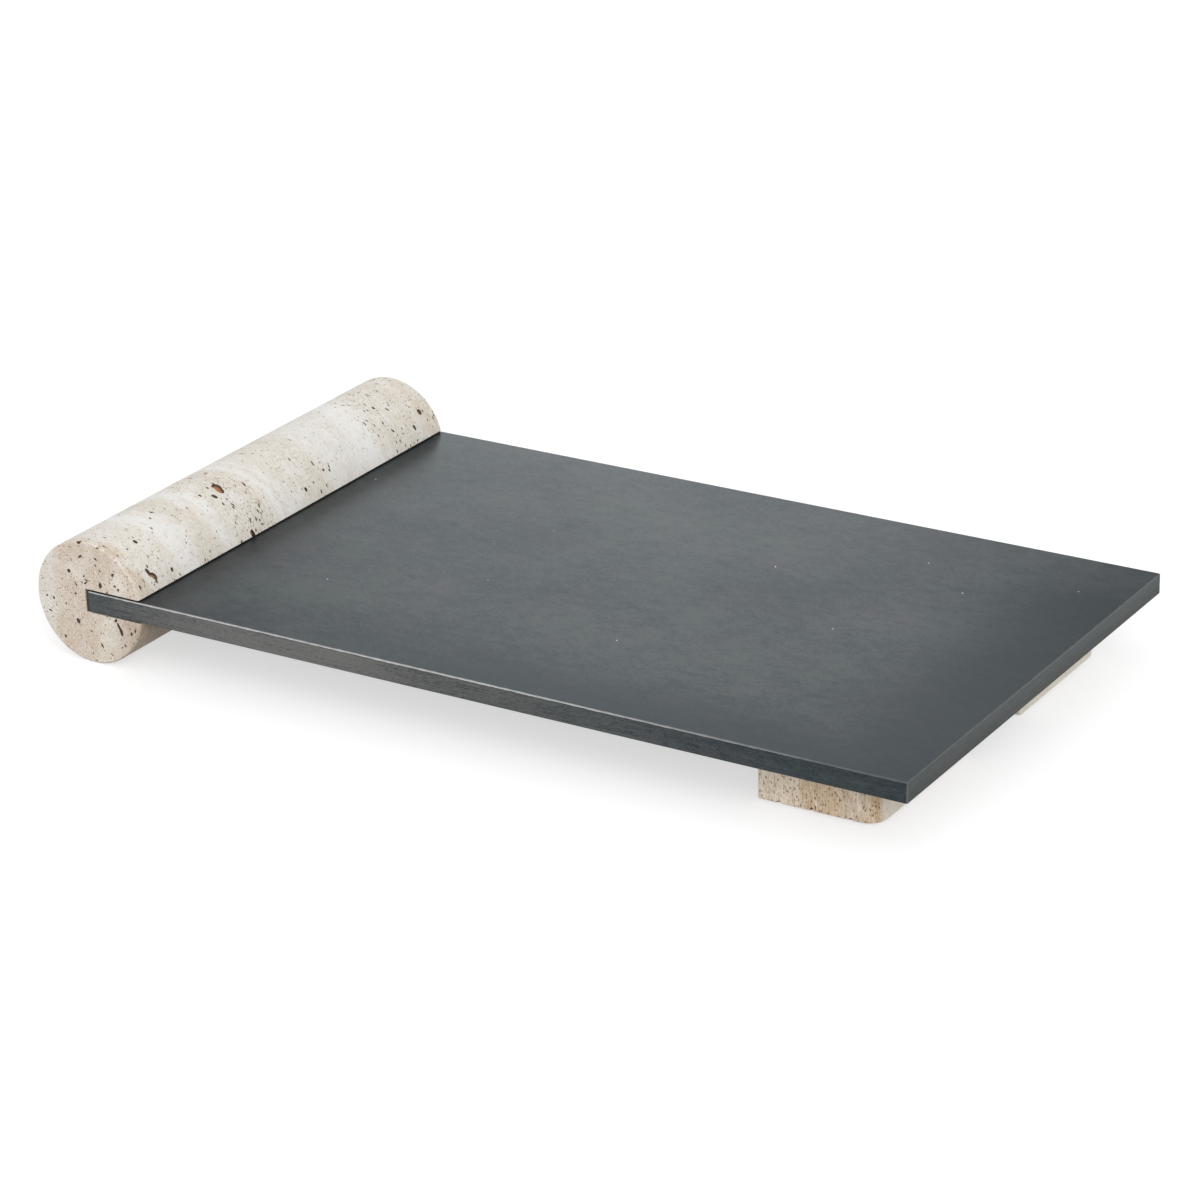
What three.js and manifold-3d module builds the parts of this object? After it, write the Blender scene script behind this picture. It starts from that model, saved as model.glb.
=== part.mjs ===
// Low serving tray: a flat slab of blackened steel sheet on a board core, let into a sawn travertine roll
// at one end and carried on two travertine feet at the other.
// Millimetres, +Z up. The origin is on the table, under the middle of the tray.
// +X runs from the roll to the free edge and +Y runs to the back.
import * as THREE from "three";
import { mergeVertices } from "three/addons/utils/BufferGeometryUtils.js";
import Module from "manifold-3d";

const wasm = await Module();
wasm.setup();

// Driving dimensions of the slab
const slabLength = 429.5; // from its end in the roll to the free edge
const slabDepth = 254;
const slabThickness = 10;
const sheetThickness = 1.2;
const slabCornerRadius = 0.8;
const sheetBendRadius = 0.5;

// Driving dimensions of the roll
const rollDiameter = 61;
const slabProud = 0.4; // the slab's ends stand this far out of the roll's ends
const slabRise = 1; // the slab's middle lies this far above the roll's axis
const rollArris = 0.7;
const slotClearance = 0.8; // over and under the slab
const slotEndClearance = 1.7; // between the slab's end and the bottom of the slot
const beddingThickness = 0.5;
const beddingRecess = 0.6; // from the roll's round face and its ends

// Driving dimensions of the feet
const footLength = 59; // along the tray
const footGap = 48; // between the two feet
const footEndInset = 22.8; // from the free edge
const footSideInset = 21.1; // from the front or back edge
const footSlip = 1.7; // the front foot is set this much nearer the roll, and the rear foot further
const footOuterRadius = 9;
const footCornerRadius = 1.4;
const footArris = 0.7;

// Driving dimensions of what joins and protects them
const dowelDiameter = 6;
const dowelInFoot = 14;
const dowelInCore = 5.5;
const dowelInset = 17; // from the foot's front or back face
const dowelChamfer = 0.6;
const padDiameter = 14;
const padThickness = 0.8;
const padInset = 13; // pad centre from the foot's front or back face
const fitClearance = 0.3;
const bondLine = 0.15;

// Allowances of the modelling itself
const overrun = 2; // how far a cutter runs past what it cuts
const weldDistance = 0.0001;

// Places that follow from the sizes
const rollRadius = rollDiameter / 2;
const overallLength = rollRadius + slabLength;
const rollAxisX = rollRadius - overallLength / 2;
const freeEdgeX = overallLength / 2;
const slabMiddleX = (rollAxisX + freeEdgeX) / 2;
const slabMiddleZ = rollRadius + slabRise;
const slabUnderside = slabMiddleZ - slabThickness / 2;
const rollLength = slabDepth - 2 * slabProud;
const footBottom = padThickness + bondLine;
const footTop = slabUnderside - fitClearance;
const footHeight = footTop - footBottom;
const footDepth = (slabDepth - 2 * footSideInset - footGap) / 2;
const footMiddleX = freeEdgeX - footEndInset - footLength / 2;
const footMiddleY = slabDepth / 2 - footSideInset - footDepth / 2;
const dowelSpread = footDepth / 2 - dowelInset;
const coreThickness = slabThickness - 2 * sheetThickness - 2 * bondLine;

// Facets of round forms
const rollFacets = 240;
const pinFacets = 24;
const padFacets = 32;
const arcSteps = 3;
const pitRings = 7;
const pitFacets = 12;

// Open pits on the roll's round face. along: place on the roll from front to back, as a share of its
// length. round: degrees about the axis, 0 towards the slab and 90 up. long, wide and deep: size round
// the roll, along it and into it, as shares of its radius. turn: degrees that the pit leans.
const rollPitShares = [
  { along: 0.353, round: 71, long: 0.095, wide: 0.078, deep: 0.08, turn: 8 },
  { along: 0.35, round: 66.5, long: 0.09, wide: 0.07, deep: 0.085, turn: -6 },
  { along: 0.325, round: 63, long: 0.06, wide: 0.042, deep: 0.045, turn: 20 },
  { along: 0.052, round: 30.5, long: 0.09, wide: 0.036, deep: 0.045, turn: 18 },
  { along: 0.061, round: 25.5, long: 0.085, wide: 0.048, deep: 0.055, turn: 34 },
  { along: 0.076, round: 61, long: 0.045, wide: 0.038, deep: 0.045, turn: 0 },
  { along: 0.112, round: 23, long: 0.038, wide: 0.032, deep: 0.04, turn: 0 },
  { along: 0.357, round: 13, long: 0.12, wide: 0.05, deep: 0.08, turn: 12 },
  { along: 0.544, round: 27, long: 0.042, wide: 0.034, deep: 0.04, turn: 0 },
  { along: 0.616, round: 35, long: 0.03, wide: 0.026, deep: 0.03, turn: 0 },
  { along: 0.631, round: 32, long: 0.028, wide: 0.024, deep: 0.03, turn: 0 },
  { along: 0.958, round: 39, long: 0.055, wide: 0.052, deep: 0.05, turn: -12 },
  { along: 0.921, round: 28, long: 0.052, wide: 0.034, deep: 0.04, turn: 10 },
  { along: 0.86, round: 65, long: 0.036, wide: 0.032, deep: 0.035, turn: 0 },
  { along: 0.2, round: 118, long: 0.08, wide: 0.05, deep: 0.05, turn: 14 },
  { along: 0.47, round: 151, long: 0.13, wide: 0.06, deep: 0.08, turn: 10 },
  { along: 0.71, round: 127, long: 0.07, wide: 0.045, deep: 0.05, turn: -8 },
  { along: 0.88, round: 176, long: 0.1, wide: 0.055, deep: 0.06, turn: 16 },
  { along: 0.12, round: 196, long: 0.11, wide: 0.05, deep: 0.06, turn: 12 },
  { along: 0.36, round: 231, long: 0.08, wide: 0.055, deep: 0.06, turn: 0 },
  { along: 0.58, round: 205, long: 0.07, wide: 0.04, deep: 0.045, turn: -10 },
  { along: 0.79, round: 304, long: 0.09, wide: 0.05, deep: 0.06, turn: 12 },
  { along: 0.24, round: 318, long: 0.07, wide: 0.045, deep: 0.05, turn: 8 },
];

// Open pits in the roll's two ends. out: distance from the axis as a share of the radius. round: as above.
// long, wide and deep: shares of the radius. turn: degrees from the X axis.
const frontEndPitShares = [
  { out: 0.577, round: 127, long: 0.038, wide: 0.034, deep: 0.04, turn: 0 },
  { out: 0.41, round: 53, long: 0.052, wide: 0.034, deep: 0.045, turn: 84 },
  { out: 0.425, round: 236, long: 0.048, wide: 0.036, deep: 0.045, turn: 110 },
  { out: 0.63, round: 332, long: 0.075, wide: 0.028, deep: 0.04, turn: 118 },
  { out: 0.7, round: 328, long: 0.075, wide: 0.034, deep: 0.045, turn: 104 },
  { out: 0.87, round: 335, long: 0.034, wide: 0.022, deep: 0.03, turn: 90 },
  { out: 0.84, round: 232, long: 0.028, wide: 0.024, deep: 0.03, turn: 0 },
];
const backEndPitShares = [
  { out: 0.55, round: 102, long: 0.065, wide: 0.036, deep: 0.045, turn: 70 },
  { out: 0.7, round: 158, long: 0.045, wide: 0.036, deep: 0.04, turn: 96 },
  { out: 0.48, round: 250, long: 0.08, wide: 0.03, deep: 0.045, turn: 100 },
  { out: 0.75, round: 300, long: 0.05, wide: 0.034, deep: 0.04, turn: 80 },
];

// Pits along the feet's lower outer edge, where the stone has broken away. along: place on the foot's
// length from the roll's side, as a share. long, wide and deep: shares of the foot's length.
const footPitShares = [
  { along: 0.182, long: 0.022, wide: 0.022, deep: 0.026 },
  { along: 0.452, long: 0.018, wide: 0.034, deep: 0.024 },
  { along: 0.772, long: 0.014, wide: 0.024, deep: 0.02 },
];

// A closed geometry as a solid that can be cut and joined
function toSolid(geometry) {
  const bare = new THREE.BufferGeometry();
  bare.setAttribute("position", geometry.getAttribute("position"));
  bare.setIndex(geometry.index);
  const merged = mergeVertices(bare, weldDistance);
  return new wasm.Manifold(
    new wasm.Mesh({
      numProp: 3,
      vertProperties: merged.getAttribute("position").array,
      triVerts: new Uint32Array(merged.index.array),
    }),
  );
}

// A solid back as a geometry with flat shading
function toGeometry(solid) {
  const mesh = solid.getMesh();
  const indexed = new THREE.BufferGeometry();
  indexed.setAttribute("position", new THREE.BufferAttribute(new Float32Array(mesh.vertProperties), 3));
  indexed.setIndex(new THREE.BufferAttribute(new Uint32Array(mesh.triVerts), 1));
  const flat = indexed.toNonIndexed();
  flat.computeVertexNormals();
  return flat;
}

// The body less every cutter, each a geometry
function cut(body, cutters) {
  return toGeometry(cutters.reduce((rest, cutter) => rest.subtract(toSolid(cutter)), toSolid(body)));
}

// An upright round pin or hole about the Z axis, from one height to another
function uprightCylinder(diameter, bottom, top, facets) {
  const cylinder = new THREE.CylinderGeometry(diameter / 2, diameter / 2, top - bottom, facets);
  return cylinder.rotateX(Math.PI / 2).translate(0, 0, (bottom + top) / 2);
}

// A rectangle about the origin with a radius of its own at each corner, in the order front right,
// back right, back left, front left
function roundedRectangle(length, depth, radii) {
  const corners = [
    { x: length / 2, y: -depth / 2, start: -90 },
    { x: length / 2, y: depth / 2, start: 0 },
    { x: -length / 2, y: depth / 2, start: 90 },
    { x: -length / 2, y: -depth / 2, start: 180 },
  ];
  const outline = new THREE.Shape();
  corners.forEach(({ x, y, start }, i) => {
    const centreX = x - Math.sign(x) * radii[i];
    const centreY = y - Math.sign(y) * radii[i];
    const from = THREE.MathUtils.degToRad(start);
    outline.absarc(centreX, centreY, radii[i], from, from + Math.PI / 2);
  });
  return outline;
}

// An outline made into a plate of a given height about the origin, with every arris eased
function easedPlate(outline, height, ease) {
  const plate = new THREE.ExtrudeGeometry(outline, {
    depth: height - 2 * ease,
    curveSegments: arcSteps,
    bevelThickness: ease,
    bevelSize: ease,
    bevelOffset: -ease,
    bevelSegments: arcSteps,
  });
  return plate.translate(0, 0, ease - height / 2);
}

// A scoop with its middle on a face: long, wide and deep are half lengths along the three directions given
function scoop(place, longWay, outWay, turn, long, wide, deep) {
  const turned = longWay.clone().applyAxisAngle(outWay, THREE.MathUtils.degToRad(turn));
  const wideWay = new THREE.Vector3().crossVectors(outWay, turned);
  const frame = new THREE.Matrix4().makeBasis(turned, wideWay, outWay);
  const ball = new THREE.SphereGeometry(1, pitFacets, pitRings);
  return ball.scale(long, wide, deep).applyMatrix4(frame.setPosition(place));
}

// The slab's top sheet, folded down along all four edges
function topPan() {
  const radii = Array(4).fill(slabCornerRadius);
  const outline = roundedRectangle(slabLength, slabDepth, radii);
  const outside = easedPlate(outline, slabThickness, sheetBendRadius);
  const inside = new THREE.BoxGeometry(
    slabLength - 2 * sheetThickness,
    slabDepth - 2 * sheetThickness,
    slabThickness - sheetThickness + overrun,
  );
  return cut(outside, [inside.translate(0, 0, -(sheetThickness + overrun) / 2)]);
}

// Where the feet's dowels stand, seen from the middle of the slab
function dowelPlaces() {
  return [-1, 1].flatMap((side) =>
    [-1, 1].map((end) => ({
      x: footMiddleX + side * footSlip - slabMiddleX,
      y: side * footMiddleY + end * dowelSpread,
    })),
  );
}

// A board that fills the pan's inside, with holes for the dowels that run some way up from its underside
function pannedBoard(thickness, middleZ, holeDepth) {
  const board = new THREE.BoxGeometry(
    slabLength - 2 * (sheetThickness + bondLine),
    slabDepth - 2 * (sheetThickness + bondLine),
    thickness,
  );
  const underside = middleZ - thickness / 2;
  const holes = dowelPlaces().map(({ x, y }) =>
    uprightCylinder(
      dowelDiameter + 2 * fitClearance,
      underside - overrun,
      underside + holeDepth,
      pinFacets,
    ).translate(x, y, 0),
  );
  return cut(board.translate(0, 0, middleZ), holes);
}

function coreBoard() {
  const middleZ = slabThickness / 2 - sheetThickness - bondLine - coreThickness / 2;
  return pannedBoard(coreThickness, middleZ, dowelInCore + fitClearance);
}

function baseSheet() {
  return pannedBoard(sheetThickness, (sheetThickness - slabThickness) / 2, sheetThickness + overrun);
}

// The roll before it is sawn: a cylinder along Y with eased ends
function rollBlank() {
  const half = rollLength / 2;
  const profile = [
    new THREE.Vector2(0, -half),
    new THREE.Vector2(rollRadius - rollArris, -half),
    new THREE.Vector2(rollRadius, rollArris - half),
    new THREE.Vector2(rollRadius, half - rollArris),
    new THREE.Vector2(rollRadius - rollArris, half),
    new THREE.Vector2(0, half),
  ];
  return new THREE.LatheGeometry(profile, rollFacets);
}

// The slot sawn from the roll's side to its axis
function slot() {
  const reach = slotEndClearance + rollRadius + overrun;
  const saw = new THREE.BoxGeometry(reach, rollLength + 2 * overrun, slabThickness + 2 * slotClearance);
  return saw.translate(reach / 2 - slotEndClearance, 0, slabRise);
}

// Pits in the round face, which lean with the stone's bedding
function roundFacePits() {
  return rollPitShares.map(({ along, round, long, wide, deep, turn }) => {
    const angle = THREE.MathUtils.degToRad(round);
    const outWay = new THREE.Vector3(Math.cos(angle), 0, Math.sin(angle));
    const roundWay = new THREE.Vector3(-Math.sin(angle), 0, Math.cos(angle));
    const place = outWay.clone().multiplyScalar(rollRadius);
    place.y = (along - 1 / 2) * rollLength;
    return scoop(place, roundWay, outWay, turn, long * rollRadius, wide * rollRadius, deep * rollRadius);
  });
}

// Pits in one end, front at side -1 and back at side 1
function endPits(shares, side) {
  return shares.map(({ out, round, long, wide, deep, turn }) => {
    const angle = THREE.MathUtils.degToRad(round);
    const place = new THREE.Vector3(Math.cos(angle), 0, Math.sin(angle)).multiplyScalar(out * rollRadius);
    place.y = side * (rollLength / 2);
    const outWay = new THREE.Vector3(0, side, 0);
    const acrossWay = new THREE.Vector3(1, 0, 0);
    const lean = -side * turn;
    return scoop(place, acrossWay, outWay, lean, long * rollRadius, wide * rollRadius, deep * rollRadius);
  });
}

function stoneRoll() {
  const pits = [
    ...roundFacePits(),
    ...endPits(frontEndPitShares, -1),
    ...endPits(backEndPitShares, 1),
  ];
  return cut(rollBlank(), [slot(), ...pits]);
}

// The bed of dark adhesive between the slab and the slot, a channel that lies open towards the slab
function slotBedding() {
  const gap = (slotClearance - beddingThickness) / 2;
  const innerX = -gap;
  const outerX = gap - slotEndClearance;
  const innerZ = slabThickness / 2 + gap;
  const outerZ = innerZ + beddingThickness;
  const mouthX = Math.sqrt(rollRadius ** 2 - (slabRise + outerZ) ** 2) - beddingRecess;
  const channel = new THREE.Shape();
  channel.moveTo(mouthX, innerZ);
  channel.lineTo(mouthX, outerZ);
  channel.lineTo(outerX, outerZ);
  channel.lineTo(outerX, -outerZ);
  channel.lineTo(mouthX, -outerZ);
  channel.lineTo(mouthX, -innerZ);
  channel.lineTo(innerX, -innerZ);
  channel.lineTo(innerX, innerZ);
  const length = rollLength - 2 * beddingRecess;
  const bed = new THREE.ExtrudeGeometry(channel, { depth: length, bevelEnabled: false });
  return bed.translate(0, 0, -length / 2).rotateX(Math.PI / 2);
}

// A foot about its own middle, front foot at side -1 and rear foot at side 1
function foot(side) {
  const radii = Array(4).fill(footCornerRadius);
  radii[side < 0 ? 0 : 1] = footOuterRadius;
  const block = easedPlate(roundedRectangle(footLength, footDepth, radii), footHeight, footArris);
  const holes = [-1, 1].map((end) =>
    uprightCylinder(
      dowelDiameter + 2 * fitClearance,
      footHeight / 2 - dowelInFoot - fitClearance,
      footHeight / 2 + overrun,
      pinFacets,
    ).translate(0, end * dowelSpread, 0),
  );
  const pits = footPitShares.map(({ along, long, wide, deep }) => {
    const place = new THREE.Vector3((along - 1 / 2) * footLength, (side * footDepth) / 2, -footHeight / 2);
    const outWay = new THREE.Vector3(0, side, 0);
    const acrossWay = new THREE.Vector3(1, 0, 0);
    return scoop(place, acrossWay, outWay, 0, long * footLength, wide * footLength, deep * footLength);
  });
  return cut(block, [...holes, ...pits]);
}

// A dowel, set on end, from its chamfered foot to its chamfered head
function dowel() {
  const radius = dowelDiameter / 2;
  const half = (dowelInFoot + fitClearance + sheetThickness + bondLine + dowelInCore) / 2;
  const profile = [
    new THREE.Vector2(0, -half),
    new THREE.Vector2(radius - dowelChamfer, -half),
    new THREE.Vector2(radius, dowelChamfer - half),
    new THREE.Vector2(radius, half - dowelChamfer),
    new THREE.Vector2(radius - dowelChamfer, half),
    new THREE.Vector2(0, half),
  ];
  return new THREE.LatheGeometry(profile, pinFacets).rotateX(Math.PI / 2).translate(0, 0, half);
}

// Colours and finishes
const blackenedSteel = { color: 0x565c60, roughness: 0.45, metalness: 0.8 };
const bareSteel = { color: 0xa9adb0, roughness: 0.4, metalness: 0.9 };
const travertine = { color: 0xd8cdbf, roughness: 0.75, metalness: 0 };
const fibreboard = { color: 0x9a7b58, roughness: 0.9, metalness: 0 };
const darkEpoxy = { color: 0x26282a, roughness: 0.6, metalness: 0 };
const felt = { color: 0x4a4744, roughness: 1, metalness: 0 };

function piece(name, geometry, finish) {
  const mesh = new THREE.Mesh(geometry, new THREE.MeshStandardMaterial(finish));
  mesh.name = name;
  return mesh;
}

const tray = new THREE.Group();

const slab = new THREE.Group();
slab.position.set(slabMiddleX, 0, slabMiddleZ);
slab.add(
  piece("top_pan", topPan(), blackenedSteel),
  piece("core_board", coreBoard(), fibreboard),
  piece("base_sheet", baseSheet(), blackenedSteel),
);
tray.add(slab);

const handle = new THREE.Group();
handle.position.set(rollAxisX, 0, rollRadius);
const bedding = piece("slot_bedding", slotBedding(), darkEpoxy);
bedding.position.z = slabRise;
handle.add(piece("stone_roll", stoneRoll(), travertine), bedding);
tray.add(handle);

for (const { name, side } of [
  { name: "front", side: -1 },
  { name: "rear", side: 1 },
]) {
  const stand = new THREE.Group();
  stand.position.set(footMiddleX + side * footSlip, side * footMiddleY, 0);
  const block = piece(`${name}_foot`, foot(side), travertine);
  block.position.z = footBottom + footHeight / 2;
  stand.add(block);
  for (const { place, end } of [
    { place: "outer", end: side },
    { place: "inner", end: -side },
  ]) {
    const pin = piece(`${name}_foot_dowel_${place}`, dowel(), bareSteel);
    pin.position.set(0, end * dowelSpread, footTop - dowelInFoot);
    const disc = uprightCylinder(padDiameter, 0, padThickness, padFacets);
    const pad = piece(`${name}_foot_pad_${place}`, disc, felt);
    pad.position.set(0, end * (footDepth / 2 - padInset), 0);
    stand.add(pin, pad);
  }
  tray.add(stand);
}

export default tray;
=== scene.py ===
import math

import bmesh
import bpy
from mathutils import Matrix, Vector


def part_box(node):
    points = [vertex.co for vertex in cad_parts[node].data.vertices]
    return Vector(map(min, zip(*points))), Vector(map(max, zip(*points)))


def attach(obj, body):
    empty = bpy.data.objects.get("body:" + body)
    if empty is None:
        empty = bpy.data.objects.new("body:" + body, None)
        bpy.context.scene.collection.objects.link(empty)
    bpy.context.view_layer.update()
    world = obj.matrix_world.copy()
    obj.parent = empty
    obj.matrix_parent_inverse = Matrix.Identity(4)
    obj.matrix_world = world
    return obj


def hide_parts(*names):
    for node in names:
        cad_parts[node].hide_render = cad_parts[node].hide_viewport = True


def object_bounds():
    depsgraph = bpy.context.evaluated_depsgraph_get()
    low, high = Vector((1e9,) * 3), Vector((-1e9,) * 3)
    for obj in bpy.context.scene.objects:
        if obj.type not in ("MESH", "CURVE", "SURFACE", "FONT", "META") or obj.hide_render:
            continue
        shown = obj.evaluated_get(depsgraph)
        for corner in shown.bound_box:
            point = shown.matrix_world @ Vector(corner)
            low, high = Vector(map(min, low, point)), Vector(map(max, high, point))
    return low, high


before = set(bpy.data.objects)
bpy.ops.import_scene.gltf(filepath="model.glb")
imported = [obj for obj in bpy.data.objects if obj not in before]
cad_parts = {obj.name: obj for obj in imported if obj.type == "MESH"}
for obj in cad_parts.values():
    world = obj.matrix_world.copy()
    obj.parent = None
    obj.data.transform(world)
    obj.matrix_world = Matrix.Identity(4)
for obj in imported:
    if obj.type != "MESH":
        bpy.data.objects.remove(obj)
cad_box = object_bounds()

# Camera: the photograph's own viewing angle, found from the tray's edges. It looks down on the
# tray's front from the right, from about 1.8 m, and leans by a degree and a half.
MM = 0.001
AIM = Vector((-9 * MM, 0, 31.5 * MM))
DISTANCE = 1844.4 * MM
AZIMUTH = math.radians(32.119)
ELEVATION = math.radians(23.070)
LEAN = math.radians(-1.540)
SLIDE_RIGHT = 10.19 * MM
SLIDE_UP = -8.15 * MM
SENSOR = 36.0
PHOTO_PIXELS = 1200
FOCAL_PIXELS = 3938.9

level = Vector((math.cos(AZIMUTH), math.sin(AZIMUTH), 0))
back = Vector((level.y, -level.x, 0)) * math.cos(ELEVATION) + Vector((0, 0, math.sin(ELEVATION)))
upright = back.cross(level)
right = level * math.cos(LEAN) + upright * math.sin(LEAN)
up = upright * math.cos(LEAN) - level * math.sin(LEAN)
camera = bpy.data.objects.new("camera", bpy.data.cameras.new("camera"))
camera.data.sensor_width = SENSOR
camera.data.lens = FOCAL_PIXELS / PHOTO_PIXELS * SENSOR
camera.matrix_world = Matrix.Translation(
    AIM + back * DISTANCE + right * SLIDE_RIGHT + up * SLIDE_UP
) @ Matrix((right, up, back)).transposed().to_4x4()
bpy.context.scene.collection.objects.link(camera)
bpy.context.scene.camera = camera
bpy.context.scene.view_settings.view_transform = "Standard"

# Studio: a white room with an even light, a large soft lamp in front on the right, a weak one in
# front on the left and a small one far behind, whose sheen lies along the slab. The floor is pale
# and keeps the tray's soft shadow.
SKY_LIGHT = 0.76
FLOOR_RADIUS = 6.0
FLOOR_SIDES = 64
FLOOR_DROP = 0.05 * MM
FLOOR_TONE = (0.50, 0.50, 0.50, 1)
FLOOR_ROUGHNESS = 0.9
FLOOR_GLOW = 0.60
BLACK = (0, 0, 0, 1)
WHITE = (1, 1, 1, 1)
# Each lamp's place, width and height in metres, and its watts.
LAMPS = {
    "front_lamp": ((1.60, -1.35, 1.35), 1.6, 1.2, 27.0),
    "fill_lamp": ((-0.95, -1.75, 0.40), 1.0, 0.6, 5.0),
    "back_lamp": ((-1.13, 1.90, 0.78), 0.8, 0.5, 3.9),
}


class Wire:
    """A socket in a tree of nodes. Sums written with it add the Math or Vector Math nodes."""

    def __init__(self, tree, socket=None):
        self.tree = tree
        self.socket = socket

    def node(self, kind, settings, sockets, out=0):
        """Adds a node with its settings and its sockets' values or links, and gives one output."""
        made = self.tree.nodes.new(kind)
        for name, value in settings.items():
            if name == "stops":
                ramp = made.color_ramp
                while len(ramp.elements) < len(value):
                    ramp.elements.new(1.0)
                for stop, (place, colour) in zip(ramp.elements, value):
                    stop.position = place
                    stop.color = colour
            else:
                setattr(made, name, value)
        inputs = [socket for socket in made.inputs if socket.enabled]
        for name, value in sockets.items():
            if isinstance(name, int):
                target = inputs[name]
            else:
                target = next(socket for socket in inputs if socket.name == name)
            for one in value if isinstance(value, list) else [value]:
                if isinstance(one, Wire):
                    self.tree.links.new(one.socket, target)
                else:
                    target.default_value = one
        outputs = [socket for socket in made.outputs if socket.enabled]
        if isinstance(out, int):
            return Wire(self.tree, outputs[out] if outputs else None)
        return Wire(self.tree, next(socket for socket in outputs if socket.name == out))

    def sum(self, operation, first, second):
        wide = [
            isinstance(one, tuple) or isinstance(one, Wire) and one.socket.type == "VECTOR"
            for one in (first, second)
        ]
        if operation == "MULTIPLY" and wide == [True, False]:
            scaled = {0: first, "Scale": second}
            return self.node("ShaderNodeVectorMath", {"operation": "SCALE"}, scaled)
        kind = "ShaderNodeVectorMath" if any(wide) else "ShaderNodeMath"
        return self.node(kind, {"operation": operation}, {0: first, 1: second})

    def __add__(self, other):
        return self.sum("ADD", self, other)

    def __radd__(self, other):
        return self.sum("ADD", other, self)

    def __sub__(self, other):
        return self.sum("SUBTRACT", self, other)

    def __rsub__(self, other):
        return self.sum("SUBTRACT", other, self)

    def __mul__(self, other):
        return self.sum("MULTIPLY", self, other)

    def __rmul__(self, other):
        return self.sum("MULTIPLY", self, other)

    def __truediv__(self, other):
        return self.sum("MULTIPLY", self, 1 / other)

    def least(self, other):
        return self.sum("MINIMUM", self, other)

    def most(self, other):
        return self.sum("MAXIMUM", self, other)

    def rise(self, low, high):
        """0 below low, 1 above high and a smooth slope between; the other way round if low > high."""
        ends = {"From Min": min(low, high), "From Max": max(low, high)}
        turn = {"To Min": 0.0 if low < high else 1.0, "To Max": 1.0 if low < high else 0.0}
        return self.node(
            "ShaderNodeMapRange",
            {"interpolation_type": "SMOOTHSTEP"},
            {"Value": self, **ends, **turn},
        )

    def blend(self, first, second):
        """The first colour where this is 0 and the second where it is 1."""
        return self.node(
            "ShaderNodeMix", {"data_type": "RGBA"}, {"Factor": self, "A": first, "B": second}
        )


def shader_tree(holder):
    """Empties the tree of a material or a world, to be built up again."""
    holder.use_nodes = True
    holder.node_tree.nodes.clear()
    return Wire(holder.node_tree)


def seen_directly(wire):
    """1 for the rays by which the camera, a gloss or a glass sees the background, else 0."""
    paths = [
        wire.node("ShaderNodeLightPath", {}, {}, out=name)
        for name in ("Is Camera Ray", "Is Glossy Ray", "Is Transmission Ray")
    ]
    return paths[0].most(paths[1]).most(paths[2])


world = bpy.data.worlds.new("studio")
bpy.context.scene.world = world
wire = shader_tree(world)
glow = wire.node(
    "ShaderNodeBackground",
    {},
    {"Color": WHITE, "Strength": seen_directly(wire) * (1 - SKY_LIGHT) + SKY_LIGHT},
)
wire.node("ShaderNodeOutputWorld", {}, {"Surface": glow})

outline = bmesh.new()
bmesh.ops.create_circle(outline, cap_ends=True, segments=FLOOR_SIDES, radius=FLOOR_RADIUS)
bmesh.ops.translate(outline, verts=outline.verts, vec=(0, 0, cad_box[0][2] - FLOOR_DROP))
floor = bpy.data.objects.new("floor", bpy.data.meshes.new("floor"))
outline.to_mesh(floor.data)
outline.free()
bpy.context.scene.collection.objects.link(floor)
floor.data.materials.append(bpy.data.materials.new("floor"))
wire = shader_tree(floor.data.materials[0])
light = seen_directly(wire) * FLOOR_GLOW
paint = wire.node(
    "ShaderNodeBsdfPrincipled",
    {},
    {
        "Base Color": FLOOR_TONE,
        "Roughness": FLOOR_ROUGHNESS,
        "Specular IOR Level": 0.0,
        "Emission Color": light.blend(BLACK, WHITE),
        "Emission Strength": 1.0,
    },
)
wire.node("ShaderNodeOutputMaterial", {}, {"Surface": paint})

for name, (place, width, height, watts) in LAMPS.items():
    lamp = bpy.data.objects.new(name, bpy.data.lights.new(name, "AREA"))
    lamp.data.shape = "RECTANGLE"
    lamp.data.size = width
    lamp.data.size_y = height
    lamp.data.energy = watts
    turned = (Vector(place) - AIM).to_track_quat("Z", "Y").to_matrix().to_4x4()
    lamp.matrix_world = Matrix.Translation(place) @ turned
    bpy.context.scene.collection.objects.link(lamp)

# Top pan: the slab's skin, one sheet of steel with its four edges turned down over the core. It is
# brushed along its length, blackened and waxed, and the black is rubbed off along the folds.
STEEL_BLACK = (0.013, 0.0235, 0.029, 1)
STEEL_DARK = (0.031, 0.041, 0.047, 1)
STEEL_TEAL = (0.060, 0.075, 0.075, 1)
STEEL_SLATE = (0.067, 0.071, 0.077, 1)
STEEL_MIST = (0.088, 0.104, 0.107, 1)
STEEL_BROWN = (0.040, 0.036, 0.035, 1)
STEEL_RUB_AND_PAINTED_LIGHT = (0.125, 0.124, 0.121, 1)
STEEL_BARE = (0.50, 0.50, 0.49, 1)
DUST = (0.75, 0.75, 0.74, 1)
SHEEN = (0.6, 0.6, 0.6, 1)
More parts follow.
